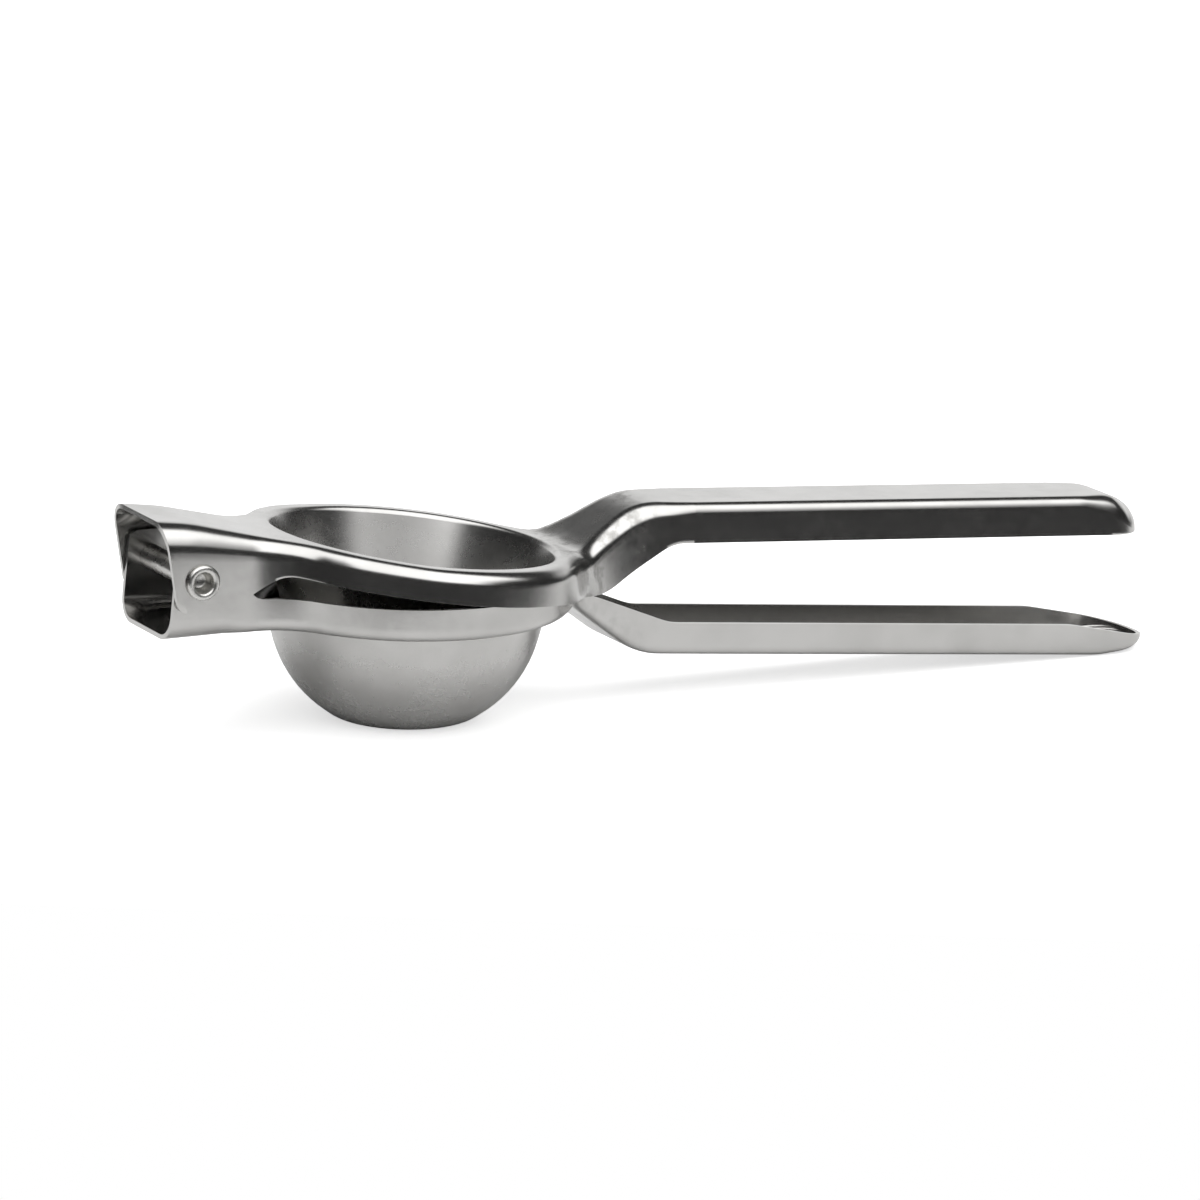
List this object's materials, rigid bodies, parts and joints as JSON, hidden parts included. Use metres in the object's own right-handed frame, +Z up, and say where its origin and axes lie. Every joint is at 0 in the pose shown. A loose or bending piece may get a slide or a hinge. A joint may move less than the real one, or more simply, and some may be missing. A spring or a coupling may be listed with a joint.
{
  "type": "hinged lemon squeezer",
  "caption": "Hand-held lemon press of stamped steel: a press bowl swings into a pierced strainer bowl on a rivet behind them, driven by two long channel handles.",
  "frame": {"origin": "centre of the strainer bowl's flat underside, on the plane the closed tool stands on", "axes": "+X from the bowls towards the handle ends, +Y to the side with the rivet's domed head, +Z up from the strainer bowl towards the press bowl"},
  "size_m": [0.2181, 0.066, 0.0433],
  "materials": {
    "arm_steel": "satin stainless steel sheet, bright on the rounded edges",
    "rivet_steel": "bright stainless steel wire, rolled over at one end"
  },
  "bodies": {
    "strainer_side": {"lower_arm": "arm_steel", "hinge_rivet": "rivet_steel"},
    "press_side": {"upper_arm": "arm_steel"}
  },
  "joints": [
    {"name": "hinge", "type": "hinge", "parent": "strainer_side", "child": "press_side", "pos_m": [-0.0478, 0, 0.0321], "axis": [0, -1, 0], "range_deg": [0, 100]}
  ]
}
